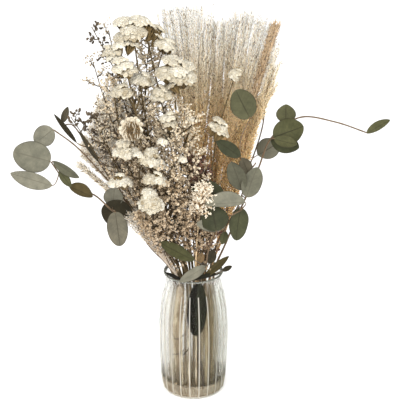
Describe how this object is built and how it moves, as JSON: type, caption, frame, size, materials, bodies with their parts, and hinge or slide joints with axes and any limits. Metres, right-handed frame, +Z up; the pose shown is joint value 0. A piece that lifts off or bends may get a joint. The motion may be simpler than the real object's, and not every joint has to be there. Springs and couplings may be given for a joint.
{
  "type": "vase of dried flowers",
  "caption": "Clear ribbed glass vase with a loose dry bunch of eucalyptus, silver grass plumes, white statice and sea lavender.",
  "frame": {"origin": "middle of the vase's underside", "axes": "+Z up along the vase's axis, -Y is the side that the arrangement is made to be seen from, +X to that viewer's right"},
  "size_m": [0.5575, 0.303, 0.6127],
  "materials": {
    "glass": "clear ribbed glass with a faint grey-green tint",
    "leaf": "dry matt grey-green leaf",
    "olive": "dry matt olive-brown leaf",
    "plume": "soft dry golden cream grass",
    "stem": "dry brown stem",
    "paper": "papery off-white",
    "cone": "dry brown cone with a cream rim",
    "floret": "fine dry cream florets",
    "bud": "small dark dry buds",
    "rice": "small off-white dry flowers"
  },
  "bodies": {
    "root": {"vase": "glass", "eucalyptus_upper_left": "leaf", "eucalyptus_lower_left": "leaf", "eucalyptus_inner_right": "leaf", "eucalyptus_front_right": "leaf", "eucalyptus_at_rim": "leaf", "eucalyptus_far_right": "leaf", "eucalyptus_back_left": "leaf", "eucalyptus_back_right": "leaf", "eucalyptus_back_middle": "leaf", "narrow_leaf_stem": "olive", "statice_top_left": "stem", "head_top_left": "paper", "head_left_edge": "paper", "statice_top_middle": "stem", "head_top_middle": "paper", "head_beside_plume": "paper", "statice_middle": "stem", "head_big_middle": "paper", "head_under_big": "paper", "head_low_middle": "paper", "statice_column": "stem", "head_column_top": "paper", "head_column_low": "paper", "head_middle_column": "paper", "statice_left": "stem", "head_left_middle": "paper", "head_left_low": "paper", "everlasting": "stem", "everlasting_head": "cone", "head_centre": "paper", "statice_front": "stem", "head_front": "paper", "head_front_green": "paper", "statice_right": "stem", "head_right": "paper", "tuft_on_plume": "paper", "statice_back": "stem", "head_back_left": "paper", "head_back_right": "paper", "plume_left_of_fan": "plume", "plume_mid_left": "plume", "plume_middle": "plume", "plume_right": "plume", "plume_low_right": "plume", "plume_back_left": "plume", "plume_low_left": "plume", "rice_flower": "rice", "buds_left": "bud", "buds_top_left": "bud", "buds_pink": "bud", "lavender_front_left": "floret", "lavender_front_middle": "floret", "lavender_centre": "floret", "lavender_right_low": "floret", "lavender_left": "floret", "lavender_tall_left": "floret", "lavender_left_tip": "floret", "lavender_back": "floret", "lavender_back_right": "floret"}
  },
  "joints": []
}
